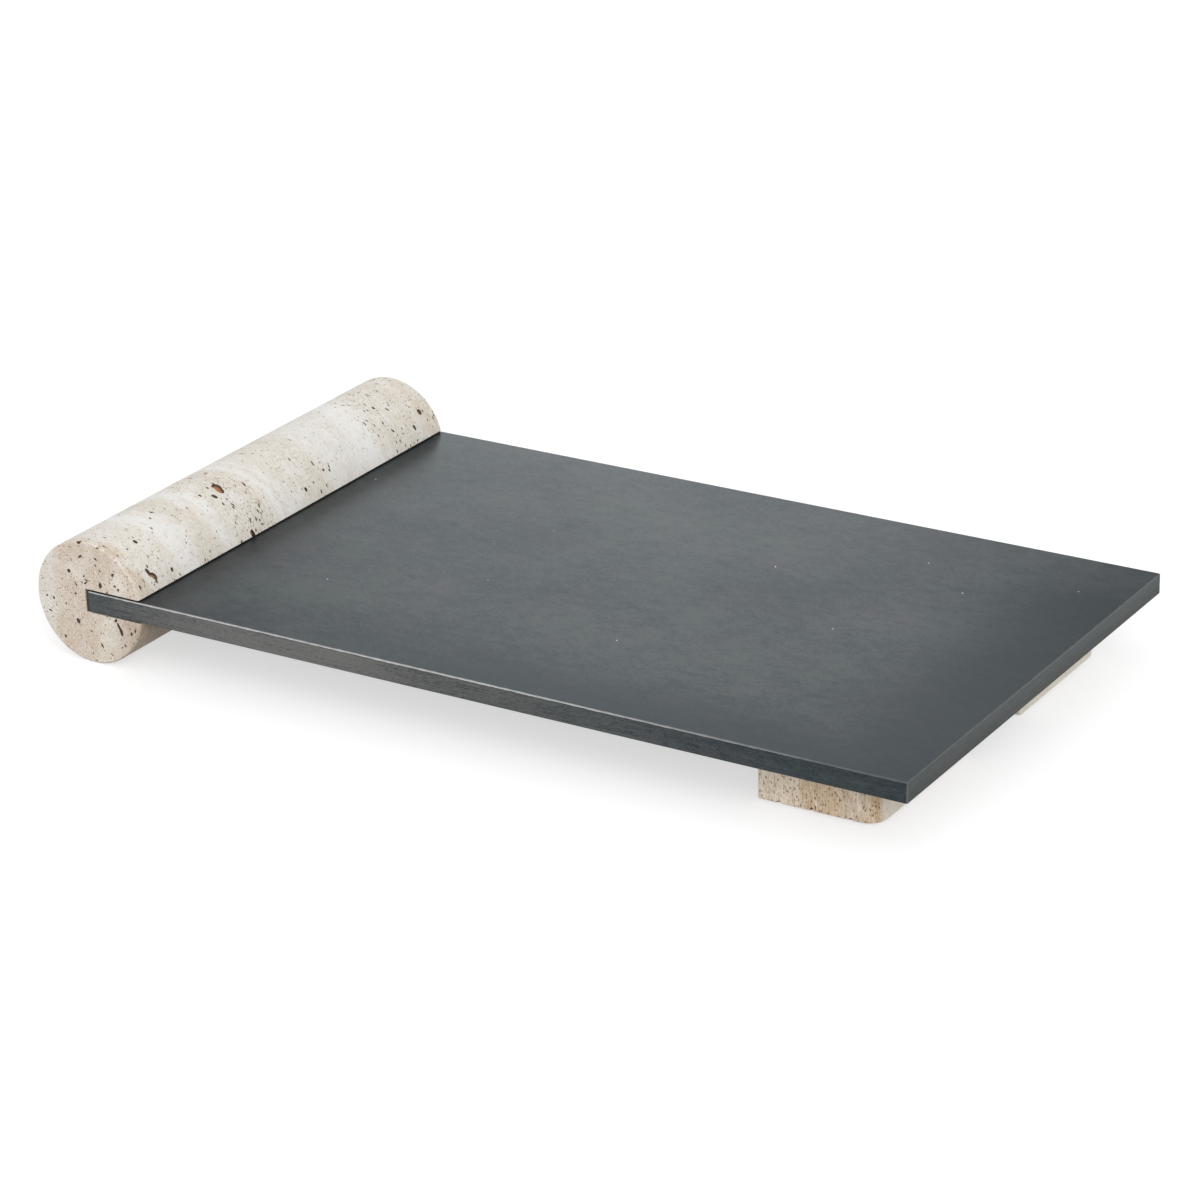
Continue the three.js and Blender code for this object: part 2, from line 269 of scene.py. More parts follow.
# The finish's marks and blotches: their sizes in millimetres, and how far they are drawn out.
BRUSH_LENGTH = 38
BRUSH_WIDTH = 0.32
BRUSH_DEPTH = 0.0025
DASH_SIZE = 0.55
DASH_STRETCH = (4, 4, 1)
GRAIN_SIZE = 0.9
GRAIN_DEPTH = 0.002
GRAIN_STRETCH = (1.5, 1, 1)
PATCH_SIZE = 5
SMUDGE_SIZE = 9
PATCH_STRETCH = (1.8, 1, 1)
CLOUD_SIZE = 48
HUE_SIZE = 26
HUE_SHIFT = (70, 0, 0)
CLOUD_STRETCH = (1.6, 1, 1)
SPECK_SPACING = 80
SPECK_RADIUS = 0.5
PAN_WEAR = 0.75
WORN_INNER = 0.30
WORN_OUTER = 0.80
WEAR_SIZE = 1.4
WEAR_STRETCH = (3, 3, 1)
WEAR_RAGGED = 0.7
# Where its tones, its painted shade and its painted light and sheen begin and where they are full,
# in millimetres from the pan's top, its front or back edge, its end in the slot or its free end.
TOP_SKIN = (1.2, 0.5)
PAINTED_FRONT_SHADE_FROM_FRONT = (55, 5)
PAINTED_FRONT_SHADE_FROM_END = (350, 190)
PAINTED_END_SHADE_FROM_END = (80, 16)
PAINTED_END_SHADE_FROM_BACK = (-5, 60)
PAINTED_LIGHT_FROM_SLOT = (72, 34)
PAINTED_LIGHT_FROM_BACK = (5, 75)
PAINTED_SIDE_SHADE_FROM_END = (150, 10)
MIST_FROM_FRONT = (-10, 137)
BROWN_FROM_TOP = (2, 9)
BARE_AND_HIGHLIGHT_FROM_END = (0, 210)
SHEEN_FROM_SLOT = (-50, 75)
SHEEN_FROM_END = (65, 305)
SHEEN_CORE_FROM_SLOT = (25, 75)
SHEEN_CORE_FROM_END = (230, 295)


def millimetres(wire):
    """The place on the piece in millimetres."""
    return wire.node("ShaderNodeTexCoord", {}, {}, out="Object") * (1 / MM)


def part(place, axis):
    """One part of a place or of a direction."""
    return place.node("ShaderNodeSeparateXYZ", {}, {0: place}, out=axis)


def noise(place, size, detail=3.0, stretch=(1, 1, 1), roughness=0.5):
    """Noise whose lumps are about size millimetres, drawn out by stretch along each axis."""
    scaled = place * tuple(1 / (size * one) for one in stretch)
    sockets = {"Vector": scaled, "Scale": 1.0, "Detail": detail, "Roughness": roughness}
    return place.node("ShaderNodeTexNoise", {}, sockets)


def cells(place, spacing, dimensions="3D"):
    """How far a place is from its cell's middle, in millimetres, and a number drawn for the cell."""
    settings = {"voronoi_dimensions": dimensions}
    sockets = {"Vector": place * tuple(1 / one for one in spacing), "Scale": 1.0}
    away = place.node("ShaderNodeTexVoronoi", settings, sockets, out="Distance") * spacing[0]
    drawn = place.node("ShaderNodeTexVoronoi", settings, sockets, out="Color")
    return away, place.node("ShaderNodeSeparateColor", {}, {0: drawn}, out="Red")


def finish(wire, sockets, height):
    """Closes a material: its surface, with the small relief that height gives in millimetres."""
    relief = wire.node("ShaderNodeBump", {}, {"Height": height, "Strength": 1.0, "Distance": MM})
    skin = wire.node("ShaderNodeBsdfPrincipled", {}, {**sockets, "Normal": relief})
    wire.node("ShaderNodeOutputMaterial", {}, {"Surface": skin})


def blackened_steel(name, box, worn):
    """Blackened steel for a flat piece whose corners are box; worn is how bare its edges are."""
    material = bpy.data.materials.new(name)
    wire = shader_tree(material)
    place = millimetres(wire)
    x, y, z = (part(place, axis) for axis in "XYZ")
    low, high = (Vector(corner) / MM for corner in box)
    from_slot, to_end = x - low.x, high.x - x
    to_front, to_back = y - low.y, high.y - y
    to_top = high.z - z
    normal = wire.node("ShaderNodeNewGeometry", {}, {}, out="Normal")
    facing_x = part(normal, "X")
    on_end = facing_x.most(facing_x * -1).rise(0.6, 0.8)
    on_top = to_top.rise(*TOP_SKIN)
    off_top = 1 - on_top
    on_side = off_top * part(normal, "Z").rise(-0.8, -0.6)

    along = noise(place, BRUSH_WIDTH, stretch=(BRUSH_LENGTH / BRUSH_WIDTH, 1, 1))
    across = noise(place, BRUSH_WIDTH, stretch=(1, BRUSH_LENGTH / BRUSH_WIDTH, 1))
    brush = along + (across - along) * on_end
    cloud = noise(place, CLOUD_SIZE, detail=4.0, stretch=CLOUD_STRETCH, roughness=0.55)
    patch = noise(place, PATCH_SIZE, detail=3.0, stretch=PATCH_STRETCH)
    grain = noise(place, GRAIN_SIZE, detail=2.0, stretch=GRAIN_STRETCH)
    dash = noise(place, DASH_SIZE, detail=3.0, stretch=DASH_STRETCH, roughness=0.7)
    hue = noise(place + HUE_SHIFT, HUE_SIZE, detail=3.0, stretch=CLOUD_STRETCH).rise(0.38, 0.62)
    tone = cloud * 1.2 + patch * 1.4 + grain * 1.4 + dash * 0.8 + brush * 0.8 - 2.3
    colour = tone.rise(0.0, 1.0).blend(STEEL_DARK, hue.blend(STEEL_TEAL, STEEL_SLATE))

    # Painted shade: the top is painted darker near its front edge and near its free end, where the
    # back lamp's sheen falls off. Random smudges darken it as well.
    along_front = to_end.rise(*PAINTED_FRONT_SHADE_FROM_END) * 0.55 + 0.08
    painted_front_shade = to_front.rise(*PAINTED_FRONT_SHADE_FROM_FRONT) * along_front
    painted_end_shade = to_end.rise(*PAINTED_END_SHADE_FROM_END) * to_back.rise(*PAINTED_END_SHADE_FROM_BACK) * 0.64
    smudge = noise(place, SMUDGE_SIZE, detail=4.0, stretch=PATCH_STRETCH, roughness=0.6)
    shade = painted_front_shade.most(painted_end_shade).most(smudge.rise(0.60, 0.72) * 0.4)
    colour = (on_top * shade).blend(colour, STEEL_BLACK)
    # Painted light: the top is painted paler beside the roll, lifting the roll's shadow there and
    # standing for the pale roll reflected in it.
    painted_light_by_roll = from_slot.rise(*PAINTED_LIGHT_FROM_SLOT) * to_back.rise(*PAINTED_LIGHT_FROM_BACK)
    colour = (on_top * painted_light_by_roll * 0.30).blend(colour, STEEL_RUB_AND_PAINTED_LIGHT)
    # Painted shade: the front and back sides are painted darker towards the free end, where the floor
    # they reflect lies in the tray's shadow.
    painted_side_shade = on_side * (1 - on_end) * to_end.rise(*PAINTED_SIDE_SHADE_FROM_END)
    colour = (painted_side_shade * 0.35).blend(colour, STEEL_BLACK)
    colour = (on_end * 0.9).blend(colour, STEEL_TEAL)
    colour = (on_end * to_front.rise(*MIST_FROM_FRONT) * 0.6).blend(colour, STEEL_MIST)
    colour = (on_end * to_top.rise(*BROWN_FROM_TOP) * 0.6).blend(colour, STEEL_BROWN)

    to_side = to_front.least(to_back)
    fold = to_top.most(to_side).least(to_top.most(to_end)).least(to_side.most(to_end))
    wear = noise(place, WEAR_SIZE, detail=4.0, stretch=WEAR_STRETCH) - 0.5
    worn_fold = (fold + wear * WEAR_RAGGED).rise(WORN_OUTER, WORN_INNER)
    # The folds are worn to bare steel, and the bare line is also a painted edge highlight: it is
    # painted fading from the slot towards the free end, as the highlight does.
    bare = worn_fold * (to_end.rise(*BARE_AND_HIGHLIGHT_FROM_END) * 0.8 + 0.2) * worn
    # Painted sheen: the front and back sides are painted paler along their brushed streaks, most
    # towards the slot, and the free end a little, for the lit floor that they reflect.
    sheen_spread = from_slot.rise(*SHEEN_FROM_SLOT) * to_end.rise(*SHEEN_FROM_END)
    sheen_core = from_slot.rise(*SHEEN_CORE_FROM_SLOT) * to_end.rise(*SHEEN_CORE_FROM_END)
    painted_sheen = ((sheen_spread + sheen_core * 0.5) * (1 - on_end) + on_end * 0.3) * on_side
    streak = brush * 0.5 + dash * 0.5
    streaked = streak.rise(0.38, 0.62) * 0.9 + 0.38
    colour = (painted_sheen * streaked).least(1.0).blend(colour, STEEL_RUB_AND_PAINTED_LIGHT)
    colour = (off_top * streak.rise(0.50, 0.36) * 0.40).blend(colour, STEEL_BLACK)
    colour = (off_top * streak.rise(0.52, 0.66) * 0.25).blend(colour, STEEL_RUB_AND_PAINTED_LIGHT)
    # The folds' bare steel, with a little more added where the painted sheen is strongest.
    colour = bare.most((painted_sheen - 1) * 0.09).blend(colour, STEEL_BARE)

    away, draw = cells(place, (SPECK_SPACING,) * 3, "2D")
    speck = away.rise(SPECK_RADIUS, SPECK_RADIUS * 0.4) * on_top * draw.rise(0.2, 0.8)
    finish(
        wire,
        {
            "Base Color": speck.blend(colour, DUST),
            "Metallic": 0.8 - speck * 0.8,
            "Roughness": 0.25 + brush * 0.12 + patch * 0.08,
            "Specular Tint": SHEEN,
        },
        brush * BRUSH_DEPTH + grain * GRAIN_DEPTH,
    )
    return material


pan_steel = blackened_steel("top_pan_steel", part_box("top_pan"), PAN_WEAR)
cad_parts["top_pan"].material_slots[0].material = pan_steel

# Core board: a sheet of raw fibreboard that fills the pan and stiffens it. It is glued to the steel
# above and below, and the feet's dowels are let into it from below.
BOARD_PALE = (0.40, 0.27, 0.16, 1)
BOARD_DARK = (0.24, 0.15, 0.085, 1)
FIBRE_SIZE = 0.8
FIBRE_STRETCH = (2.5, 2.5, 1)
FIBRE_DEPTH = 0.05
FLECK_SIZE = 2.2


def fibreboard():
    material = bpy.data.materials.new("core_board_fibre")
    wire = shader_tree(material)
    place = millimetres(wire)
    fibre = noise(place, FIBRE_SIZE, detail=5.0, stretch=FIBRE_STRETCH, roughness=0.65)
    fleck = noise(place, FLECK_SIZE, detail=2.0)
    colour = (fibre * 1.4 + fleck * 0.6 - 0.5).rise(0.1, 0.9).blend(BOARD_DARK, BOARD_PALE)
    roughness = 0.78 + fibre * 0.15
    finish(wire, {"Base Color": colour, "Roughness": roughness}, fibre * FIBRE_DEPTH)
    return material


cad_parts["core_board"].material_slots[0].material = fibreboard()

# Base sheet: the flat steel that closes the pan from below, glued up against the core. It has the
# pan's black finish, but is less rubbed, since nothing slides on it.
BASE_WEAR = 0.3

base_steel = blackened_steel("base_sheet_steel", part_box("base_sheet"), BASE_WEAR)
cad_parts["base_sheet"].material_slots[0].material = base_steel

# Stone roll: a turned travertine cylinder with a slot sawn to its axis for the slab's end. The
# block was cut so that its beds cross the roll, and its pits and pores are left open, not filled.
CHALK = (0.800, 0.785, 0.755, 1)
CREAM = (0.725, 0.690, 0.625, 1)
ASH = (0.735, 0.718, 0.680, 1)
SAND = (0.675, 0.628, 0.545, 1)
TAN_PALE = (0.655, 0.575, 0.480, 1)
TAN = (0.590, 0.485, 0.365, 1)
OCHRE = (0.50, 0.38, 0.26, 1)
OCHRE_PALE = (0.545, 0.435, 0.315, 1)
DRAB = (0.55, 0.50, 0.425, 1)
UMBER = (0.075, 0.045, 0.028, 1)
SIENNA = (0.44, 0.22, 0.095, 1)
PRICK_AND_SHADE_BROWN = (0.26, 0.175, 0.115, 1)
TAN_ROSY = (0.600, 0.485, 0.385, 1)
LIME = (0.86, 0.82, 0.72, 1)
ROLL_LOW, ROLL_HIGH = (Vector(corner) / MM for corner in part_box("stone_roll"))
ROLL_RADIUS = round(ROLL_HIGH.z / 2, 2)
ROLL_AXIS = round(ROLL_LOW.x + ROLL_RADIUS, 2)
SLAB_FRONT = round(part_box("top_pan")[0][1] / MM, 2)
# Places along the roll's beds, in millimetres from the slab's front edge, and the stone there.
ROLL_BEDS = (
    (-12, CREAM), (-6, TAN_PALE), (-1, TAN), (3, TAN_PALE), (6, CREAM), (28, CREAM), (32, CHALK),
    (37, CHALK), (48, SAND), (56, SAND), (61, CREAM), (64, CHALK), (70, CHALK), (74, CREAM),
    (80, CREAM), (101, SAND), (109, CHALK), (111.5, CHALK), (113, CREAM), (117, CHALK),
    (121, CREAM), (130, CREAM), (150, SAND), (166, ASH), (201, ASH), (205, CHALK), (215, CHALK),
    (222, CREAM), (254, SAND), (258, CREAM), (262, TAN_PALE), (268, SAND),
)
# The same for how many pores the stone has there, as shares of the most.
ROLL_PORES = (
    (-12, 0.45), (20, 0.30), (30, 0.08), (40, 0.08), (45, 0.30), (58, 0.30), (63, 0.06), (73, 0.15),
    (78, 1.0), (104, 1.0), (108, 0.05), (122, 0.06), (132, 0.32), (158, 0.32), (168, 0.06),
    (214, 0.04), (222, 0.60), (252, 0.50), (268, 0.40),
)
# How the beds lean in front, how much that changes towards the back and where, and how they wave.
# At the front end they are folded as well.
LEAN_FRONT = -0.19
LEAN_CHANGE = 0.59
LEAN_CHANGE_UP = 0.38
LEAN_CHANGE_FROM_MIDDLE = (0, 75)
WAVE_SIZE = 34
WAVE_HEIGHT = 11
FOLD_HEIGHT = 16
FOLD_FROM_FRONT = (10, 0)
# Pores are lumpy balls in clusters, drawn out along the beds. Their lengths, widths and thickness are
# shares of their size, as is how far their middles stand out. They start in outer faces only, not in
# the pits, so no deeper than SKIN under the hull. Small ones have coarse balls, to save triangles.
PORE_SHAPES = 5
PORE_LUMPS = 0.55
PORE_LUMP_SIZE = 0.9
PORE_LUMP_SHIFTS = [(7.0 * number, 3.0, 5.0) for number in range(2 * PORE_SHAPES)]
PORE_LENGTHS = (1.0, 2.2)
PORE_WIDTHS = (0.8, 1.2)
PORE_THICKNESS = 0.75
PORE_RISE = (-0.7, 0.1)
PORE_SWAY = 0.3
BIG_PORE = 0.55 * MM
COARSE_BALL = 1.12
CLUSTER_SIZE = 9
SKIN = 0.1 * MM
# The stone's markings, and the painted shade under the slab: their sizes and heights in millimetres,
# and where some begin and are full, as heights over the table, depths in the stone or distances from
# the roll's axis.
BED_RAGGED_SIZE = 2.5
BED_RAGGED = 6
CLOUDING_SIZE = 12
SHADING_SIZE = 18
SHADING_SHIFT = (40, 40, 40)
LAYER_SIZE = 1.1
LAYER_FLATTENING = 3
LAYER_DEPTH = 0.02
STONE_GRAIN_SIZE = 1.0
SAWN_GRAIN_SIZE = 0.75
STONE_FLECK_SIZE = 2.6
SPECKLE_DEPTH = 0.05
STAIN_SIZE = 2.4
TAN_NEAR_TABLE_HEIGHTS = (24, 5)
SHADE_UNDER_SLAB_HEIGHTS = (29, 22)
SHADE_UNDER_SLAB_BEGINS = (7.5, 25.5)
SHADE_UNDER_SLAB_ENDS = (59.5, 39.5)
HOLLOW_DEPTHS = (0.06, 0.45)
PRICK_RADIUS = 0.42
PRICK_EDGE = (0.10, -0.12)
PRICK_DEPTH = 0.15
# The roll's sawn ends have a finer grain and a rosy tone. A band on their outer side is paler, and
# so are four patches on the front end. Each has its middle's x and z and its reach.
SAWN_SKIN = (0.6, -0.2)
BLOT_SIZE = 9
BLOT_HEIGHT = 16
BLOT_SHIFT = (0, 90, 0)
END_BAND = (-18, -21)
END_PATCHES = ((-206, 45, 6), (-182, 43, 8), (-184, 13, 13), (-193, 4, 7))
PATCH_EDGE = 5
# The feet's faces at the free end are painted pale, as painted light, since the slab above shades
# them.
FREE_FACE = round(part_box("front_foot")[1][0] / MM, 2)
FREE_SKIN = (1.9, 0.3)


def merged_copy(node, name):
    """A copy of a CAD node with its loose triangles joined, so that it can be cut."""
    mesh = bmesh.new()
    mesh.from_mesh(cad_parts[node].data)
    bmesh.ops.remove_doubles(mesh, verts=mesh.verts, dist=0.001 * MM)
    corners = [tuple(vert.co) for vert in mesh.verts]
    faces = [[vert.index for vert in face.verts] for face in mesh.faces]
    mesh.free()
    piece = bpy.data.objects.new(name, bpy.data.meshes.new(name))
    piece.data.from_pydata(corners, [], faces)
    bpy.context.scene.collection.objects.link(piece)
    return piece


def roll_bed(place, x, y, z):
    """How far along the roll's beds a place is. They lean one way in front and the other behind."""
    from_front = y - SLAB_FRONT
    behind = y.rise(*LEAN_CHANGE_FROM_MIDDLE)
    lean = (x - ROLL_AXIS) * (behind * LEAN_CHANGE + LEAN_FRONT)
    lean_up = (z - ROLL_RADIUS) * (behind * LEAN_CHANGE_UP)
    wave = noise(place, WAVE_SIZE, detail=2.0) - 0.5
    folded = from_front.rise(*FOLD_FROM_FRONT)
    return from_front + lean + lean_up + wave * (folded * FOLD_HEIGHT + WAVE_HEIGHT)


def by_bed(along, table):
    """What a table says of the stone at a place along its beds: a colour, or a share."""
    first, length = table[0][0], table[-1][0] - table[0][0]
    stops = [
        ((place - first) / length, tone if isinstance(tone, tuple) else (tone, tone, tone, 1))
        for place, tone in table
    ]
    return along.node("ShaderNodeValToRGB", {"stops": stops}, {0: (along - first) / length})


def pore_tree(name, bed, shares, bed_normal, material):
    """A tree that opens pores in a block of stone: flat lumps lie along its beds and are cut out."""
    tree = bpy.data.node_groups.new(name, "GeometryNodeTree")
    for label, kind, direction in (
        ("Geometry", "NodeSocketGeometry", "OUTPUT"),
        ("Geometry", "NodeSocketGeometry", "INPUT"),
        ("Most Pores", "NodeSocketFloat", "INPUT"),
        ("Smallest", "NodeSocketFloat", "INPUT"),
        ("Largest", "NodeSocketFloat", "INPUT"),
        ("Stretch", "NodeSocketFloat", "INPUT"),
        ("Seed", "NodeSocketInt", "INPUT"),
    ):
        tree.interface.new_socket(label, in_out=direction, socket_type=kind)
    wire = Wire(tree)
    entry = tree.nodes.new("NodeGroupInput")
    block, most_pores, smallest, largest, stretch, seed = (
        Wire(tree, entry.outputs[i]) for i in range(6)
    )

    def chance(low, high, turn, kind="FLOAT"):
        return wire.node(
            "FunctionNodeRandomValue",
            {"data_type": kind},
            {"Min": low, "Max": high, "Seed": seed + turn},
        )

    def beyond(value, limit):
        sockets = {"A": value, "B": limit}
        return wire.node("FunctionNodeCompare", {"operation": "GREATER_THAN"}, sockets)

    def under_hull():
        spot = wire.node("GeometryNodeInputPosition", {}, {})
        sockets = {0: hull, "Sample Position": spot}
        return wire.node("GeometryNodeProximity", {}, sockets, out="Distance")

    hull = wire.node("GeometryNodeConvexHull", {}, {0: block})
    spread = wire.node(
        "GeometryNodeDistributePointsOnFaces",
        {},
        {"Mesh": block, "Density": most_pores, "Seed": seed},
    )
    facing = Wire(tree, spread.socket.node.outputs["Normal"])
    place = wire.node("GeometryNodeInputPosition", {}, {}) * (1 / MM)
    x, y, z = (part(place, axis) for axis in "XYZ")
    crowd = by_bed(bed(place, x, y, z), shares)
    cluster = noise(place, CLUSTER_SIZE, detail=2.0).rise(0.36, 0.64) * 1.5 + 0.15
    unwanted = wire.node(
        "FunctionNodeBooleanMath",
        {"operation": "OR"},
        {0: beyond(chance(0.0, 1.0, 1), crowd * cluster), 1: beyond(under_hull(), SKIN)},
    )
    thinned = wire.node(
        "GeometryNodeDeleteGeometry",
        {"domain": "POINT"},
        {"Geometry": spread, "Selection": unwanted},
    )
    draw = chance(0.0, 1.0, 2)
    size = smallest + (largest - smallest) * draw * draw * draw * draw
    sunk = wire.node(
        "GeometryNodeSetPosition",
        {},
        {"Geometry": thinned, "Offset": facing * (size * chance(*PORE_RISE, 3))},
    )
    shapes = []
    # The last shape that is joined is the first to be picked, so the finer ones come first here.
    for number, shift in enumerate(PORE_LUMP_SHIFTS):
        fine = number < PORE_SHAPES
        fineness = {"Subdivisions": 2} if fine else {"Radius": COARSE_BALL, "Subdivisions": 1}
        ball = wire.node("GeometryNodeMeshIcoSphere", {}, fineness)
        around = wire.node("GeometryNodeInputPosition", {}, {})
        push = noise(around + shift, PORE_LUMP_SIZE, detail=1.0) - 0.5
        shapes.append(
            wire.node(
                "GeometryNodeSetPosition",
                {},
                {"Geometry": ball, "Offset": around * (push * (2 * PORE_LUMPS))},
            )
        )
    sway = chance((-PORE_SWAY,) * 3, (PORE_SWAY,) * 3, 4, "FLOAT_VECTOR")
    along = wire.node(
        "ShaderNodeVectorMath", {"operation": "CROSS_PRODUCT"}, {0: facing + sway, 1: bed_normal}
    )
    laid = wire.node(
        "FunctionNodeAxesToRotation",
        {"primary_axis": "Z", "secondary_axis": "X"},
        {"Primary Axis": sway + bed_normal, "Secondary Axis": along},
    )
    length = chance(*PORE_LENGTHS, 6) * stretch
    width = chance(*PORE_WIDTHS, 7)
    shape = wire.node("ShaderNodeCombineXYZ", {}, {"X": length, "Y": width, "Z": PORE_THICKNESS})
    picked = chance(0, PORE_SHAPES - 1, 8, "INT") + beyond(size, BIG_PORE) * PORE_SHAPES
    pores = wire.node(
        "GeometryNodeInstanceOnPoints",
        {},
        {
            "Points": sunk,
            "Instance": wire.node("GeometryNodeGeometryToInstance", {}, {0: shapes}),
            "Pick Instance": True,
            "Instance Index": picked,
            "Rotation": laid,
            "Scale": shape * size,
        },
    )
    opened = wire.node(
        "GeometryNodeMeshBoolean",
        {"operation": "DIFFERENCE", "solver": "MANIFOLD"},
        {"Mesh 1": block, "Mesh 2": pores},
    )
    marked = wire.node(
        "GeometryNodeStoreNamedAttribute",
        {"data_type": "FLOAT", "domain": "POINT"},
        {"Geometry": opened, "Name": "depth", "Value": under_hull() * (1 / MM)},
    )
    whole = wire.node("GeometryNodeRealizeInstances", {}, {0: marked})
    dressed = wire.node("GeometryNodeSetMaterial", {}, {"Geometry": whole, "Material": material})
    wire.node("NodeGroupOutput", {}, {0: dressed})
    return tree


def open_pores(piece, tree, values):
    """Runs a tree on a piece and keeps the result as the piece's plain mesh."""
    run = piece.modifiers.new("pores", "NODES")
    run.node_group = tree
    for socket in tree.interface.items_tree:
        if socket.in_out == "INPUT" and socket.name in values:
            run[socket.identifier] = values[socket.name]
    shown = piece.evaluated_get(bpy.context.evaluated_depsgraph_get())
    plain = bpy.data.meshes.new_from_object(shown)
    piece.modifiers.remove(run)
    piece.data = plain
    plain.name = piece.name


def sawn_tones(colour, place, from_axis, sawn):
    """A colour with the tones that the roll's sawn ends have over it."""
    blot = (noise(place + BLOT_SHIFT, BLOT_SIZE, detail=4.0) - 0.5) * BLOT_HEIGHT
    band = (from_axis + blot * 0.5).rise(*END_BAND)
    chalky = 0.0
    for patch_x, patch_z, reach in END_PATCHES:
        middle = (patch_x, SLAB_FRONT, patch_z)
        away = place.node("ShaderNodeVectorMath", {"operation": "DISTANCE"}, {0: place, 1: middle})
        chalky = (away + blot).rise(reach, reach - PATCH_EDGE).most(chalky)
    colour = (sawn * (1 - band.most(chalky)) * 0.55).blend(colour, TAN_ROSY)
    colour = (sawn * band * 0.60).blend(colour, CREAM)
    return (sawn * chalky * 0.50).blend(colour, LIME)


def travertine(
    name, bed, beds, shares, flat, tint_and_painted_light, tan_near_table, layering, chalkiness, spacing, hollows, deep
):
    """Honed travertine: beds of chalky and sandy stone, fine layers, tiny pores and brown hollows,
    with painted shade under the slab and painted light on the feet's end faces. beds and shares say
    what colour the stone has along its beds and how many pores. flat is how its lumps are drawn out,
    warmth a tint, which above 1 also paints the stone brighter as painted light, staining how tan it
    grows near the table, layering how strong its layers are, chalkiness how white its flecks are,
    spacing how far apart its tiny pores are along each axis, and hollows the colours of shallow
    hollows and of those deep millimetres deep."""
    material = bpy.data.materials.new(name)
    wire = shader_tree(material)
    place = millimetres(wire)
    x, y, z = (part(place, axis) for axis in "XYZ")
    along = bed(place, x, y, z)
    ragged = (noise(place, BED_RAGGED_SIZE, detail=4.0, roughness=0.65) - 0.5) * BED_RAGGED
    colour = by_bed(along + ragged, beds)
    crowd = by_bed(along, shares)
    sawn = (ROLL_HIGH.y - y.most(y * -1)).rise(*SAWN_SKIN)
    # The stone is blended towards tan near the table, less on the sawn ends.
    colour = (z.rise(*TAN_NEAR_TABLE_HEIGHTS) * (1 - sawn * 0.7) * tan_near_table).blend(colour, TAN)

    clouding = noise(place, CLOUDING_SIZE, detail=5.0, roughness=0.65, stretch=flat)
    colour = (clouding.rise(0.49, 0.61) * 0.55).blend(colour, CHALK)
    elsewhere = place + SHADING_SHIFT
    shading = noise(elsewhere, SHADING_SIZE, detail=5.0, roughness=0.65, stretch=flat)
    colour = (shading.rise(0.50, 0.64) * 0.5).blend(colour, SAND)
    from_axis = x - ROLL_AXIS
    # Painted shade: the roll's side under the slab, where the slab's shadow falls, is painted ochre.
    painted_shade_under_slab = from_axis.rise(*SHADE_UNDER_SLAB_BEGINS) * from_axis.rise(*SHADE_UNDER_SLAB_ENDS)
    painted_shade_under_slab = painted_shade_under_slab * z.rise(*SHADE_UNDER_SLAB_HEIGHTS)
    colour = (painted_shade_under_slab * 0.8).blend(colour, OCHRE)
    thin = tuple(one ** LAYER_FLATTENING for one in flat)
    layer = noise(place, LAYER_SIZE, detail=4.0, roughness=0.6, stretch=thin)
    colour = (layer.rise(0.50, 0.32) * (crowd * 0.28 + 0.10) * layering).blend(colour, OCHRE)
    colour = (layer.rise(0.54, 0.70) * (0.35 * layering)).blend(colour, CHALK)

    grain = noise(place, STONE_GRAIN_SIZE, detail=3.0, roughness=0.8, stretch=flat)
    fleck = noise(place, STONE_FLECK_SIZE, detail=3.0, roughness=0.75, stretch=flat)
    sawn_grain = noise(place, SAWN_GRAIN_SIZE, detail=3.0, roughness=0.8)
    grain = grain + (sawn_grain - grain) * sawn
    mix = sawn * 0.25 + 0.6
    speckle = (grain - 0.5) * mix * (sawn * 0.75 + 1) + (fleck - 0.5) * (1 - mix) + 0.5
    colour = sawn_tones(colour, place, from_axis, sawn)
    colour = (speckle.rise(0.49, 0.36) * (crowd * 0.25 + 0.45)).blend(colour, OCHRE)
    colour = (speckle.rise(0.51, 0.62) * (chalkiness - sawn * 0.2)).blend(colour, CHALK)
    # The tint is multiplied in; above 1 it paints the stone brighter, as painted light.
    colour = wire.node(
        "ShaderNodeMix",
        {"data_type": "RGBA", "blend_type": "MULTIPLY"},
        {"Factor": 1.0, "A": colour, "B": tint_and_painted_light},
    )
    # Painted light: the feet's shaded faces at the free end are painted pale, with fewer pricks.
    free = (FREE_FACE - x).rise(*FREE_SKIN)
    colour = (free * 0.75).blend(colour, LIME)

    away, draw = cells(place, spacing)
    prick = (away - draw * PRICK_RADIUS).rise(*PRICK_EDGE)
    prick = prick * (draw * 0.75 + crowd * 0.55).rise(0.62, 0.80) * (1 - free * 0.85)
    # The pricks are painted brown, and the painted shade under the slab is deepened with the same
    # brown.
    colour = (prick * 0.85).most(painted_shade_under_slab * 0.3).blend(colour, PRICK_AND_SHADE_BROWN)

    depth = wire.node("ShaderNodeAttribute", {"attribute_name": "depth"}, {}, out="Fac")
    stain = noise(place, STAIN_SIZE, detail=3.0)
    rust = (depth + stain - 0.5).rise(deep / 2, deep)
    colour = depth.rise(*HOLLOW_DEPTHS).blend(colour, rust.blend(*hollows))
    finish(
        wire,
        {"Base Color": colour, "Roughness": 0.52 + grain * 0.15 + prick * 0.2},
        speckle * SPECKLE_DEPTH - prick * PRICK_DEPTH + layer * LAYER_DEPTH,
    )
    return material


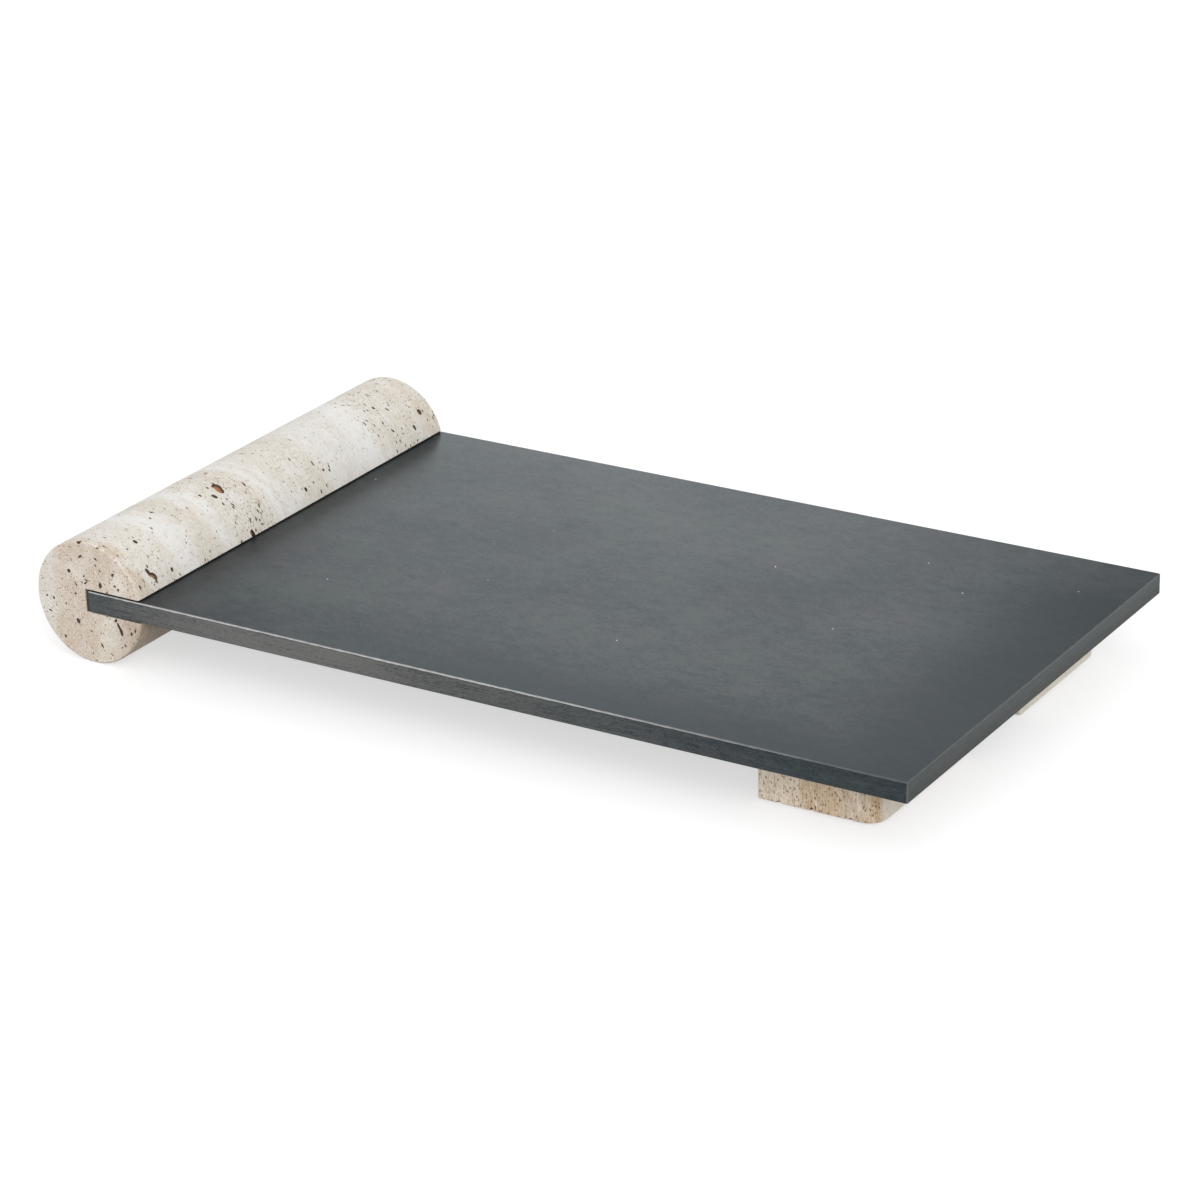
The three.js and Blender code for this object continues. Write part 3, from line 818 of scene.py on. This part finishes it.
roll_stone = travertine(
    "stone_roll_travertine",
    roll_bed,
    ROLL_BEDS,
    ROLL_PORES,
    flat=(1.6, 0.8, 1.6),
    tint_and_painted_light=(1, 1, 1, 1),
    tan_near_table=0.5,
    layering=1.0,
    chalkiness=0.85,
    spacing=(1.5, 1.5, 1.5),
    hollows=(UMBER, SIENNA),
    deep=1.8,
)
stone_roll = merged_copy("stone_roll", "travertine_roll")
roll_tree = pore_tree("roll_pores", roll_bed, ROLL_PORES, (0, 1, 0), roll_stone)
# Most Pores is a number for each square metre.
open_pores(
    stone_roll,
    roll_tree,
    {
        "Most Pores": 0.20e6,
        "Smallest": 0.20 * MM,
        "Largest": 0.85 * MM,
        "Stretch": 1.0,
        "Seed": 11,
    },
)
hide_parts("stone_roll")
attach(stone_roll, "root")

# Slot bedding: the thin line of dark adhesive that fills the slot round the slab's end. It is
# pressed in wet and wiped back from the roll's ends, and sets hard.
EPOXY = (0.022, 0.022, 0.024, 1)
EPOXY_DUSTY = (0.075, 0.066, 0.058, 1)
SMEAR_SIZE = 2.5
SMEAR_STRETCH = (1, 3, 1)
SMEAR_DEPTH = 0.05


def dark_epoxy():
    material = bpy.data.materials.new("slot_bedding_epoxy")
    wire = shader_tree(material)
    smear = noise(millimetres(wire), SMEAR_SIZE, detail=4.0, stretch=SMEAR_STRETCH)
    colour = smear.rise(0.5, 0.75).blend(EPOXY, EPOXY_DUSTY)
    roughness = 0.4 + smear * 0.3
    finish(wire, {"Base Color": colour, "Roughness": roughness}, smear * SMEAR_DEPTH)
    return material


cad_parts["slot_bedding"].material_slots[0].material = dark_epoxy()

# Feet: two travertine blocks under the free end, sawn so that their beds stand upright, with one
# corner well rounded. Each is dowelled and bonded to the slab from below.
FOOT_BED_START = 148
FOOT_BED_LEAN = 0.03
FOOT_WAVE_SIZE = 16
FOOT_WAVE_HEIGHT = 5
# The stone along the beds and its shares of pores, as for the roll, in millimetres from the start.
FOOT_BEDS = (
    (0, ASH), (3, ASH), (8, CREAM), (11, CREAM), (13, CHALK), (16, SAND), (19, TAN),
    (22, OCHRE_PALE), (29, OCHRE_PALE), (32, TAN), (36, TAN_PALE), (38, DRAB), (45, DRAB),
    (48, OCHRE), (58, OCHRE), (62, CREAM),
)
FOOT_PORES = (
    (0, 1.0), (10, 0.6), (16, 1.0), (24, 0.7), (30, 1.0), (38, 0.6), (46, 1.0), (52, 0.9),
    (54.5, 0.15), (62, 0.10),
)


def foot_bed(place, x, y, z):
    """How far along a foot's beds a place is."""
    wave = noise(place, FOOT_WAVE_SIZE, detail=2.0) - 0.5
    return x - FOOT_BED_START + y * FOOT_BED_LEAN + wave * FOOT_WAVE_HEIGHT


foot_stone = travertine(
    "foot_travertine",
    foot_bed,
    FOOT_BEDS,
    FOOT_PORES,
    flat=(0.92, 1.8, 1.8),
    # The feet's tint is warm, and it paints them brighter as painted light, for the light the slab
    # keeps off them.
    tint_and_painted_light=(1.18, 1.065, 0.925, 1),
    tan_near_table=0.0,
    layering=2.4,
    chalkiness=0.5,
    spacing=(1.0, 1.3, 1.9),
    hollows=(SIENNA, UMBER),
    deep=0.7,
)
foot_tree = pore_tree("foot_pores", foot_bed, FOOT_PORES, (1, 0, 0), foot_stone)
for node, name, seed in (
    ("front_foot", "travertine_foot_front", 23),
    ("rear_foot", "travertine_foot_rear", 37),
):
    foot = merged_copy(node, name)
    open_pores(
        foot,
        foot_tree,
        {
            "Most Pores": 0.15e6,
            "Smallest": 0.16 * MM,
            "Largest": 0.46 * MM,
            "Stretch": 1.5,
            "Seed": seed,
        },
    )
    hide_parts(node)
    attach(foot, "root")

# Dowels: bright turned steel pins, two in each foot. They pass through the base sheet and are
# bonded into the foot below it and into the core above it.
PIN_STEEL = (0.42, 0.43, 0.44, 1)
PIN_DULL = (0.30, 0.30, 0.30, 1)
TURNING_SIZE = 0.35
TURNING_STRETCH = (12, 12, 1)
TURNING_DEPTH = 0.004
DULL_SIZE = 3.0


def bare_steel():
    material = bpy.data.materials.new("dowel_steel")
    wire = shader_tree(material)
    place = millimetres(wire)
    turning = noise(place, TURNING_SIZE, detail=3.0, stretch=TURNING_STRETCH)
    dull = noise(place, DULL_SIZE, detail=3.0)
    colour = dull.rise(0.45, 0.7).blend(PIN_STEEL, PIN_DULL)
    finish(
        wire,
        {"Base Color": colour, "Metallic": 1.0, "Roughness": 0.28 + turning * 0.2},
        turning * TURNING_DEPTH,
    )
    return material


pin_finish = bare_steel()
for foot in ("front", "rear"):
    for place in ("outer", "inner"):
        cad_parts[f"{foot}_foot_dowel_{place}"].material_slots[0].material = pin_finish

# Pads: round discs of pressed dark felt, two under each foot. They are stuck on, so that the stone
# doesn't scratch a table.
FELT_DARK = (0.045, 0.040, 0.037, 1)
FELT_PALE = (0.13, 0.118, 0.108, 1)
HAIR_SIZE = 0.35
HAIR_STRETCH = 3
FELT_DEPTH = 0.08


def felt():
    material = bpy.data.materials.new("pad_felt")
    wire = shader_tree(material)
    place = millimetres(wire)
    along = noise(place, HAIR_SIZE, detail=4.0, stretch=(HAIR_STRETCH, 1, 1))
    across = noise(place, HAIR_SIZE, detail=4.0, stretch=(1, HAIR_STRETCH, 1))
    matted = along.most(across)
    colour = matted.rise(0.45, 0.75).blend(FELT_DARK, FELT_PALE)
    roughness = 0.85 + matted * 0.1
    finish(wire, {"Base Color": colour, "Roughness": roughness}, matted * FELT_DEPTH)
    return material


pad_finish = felt()
for foot in ("front", "rear"):
    for place in ("outer", "inner"):
        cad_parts[f"{foot}_foot_pad_{place}"].material_slots[0].material = pad_finish
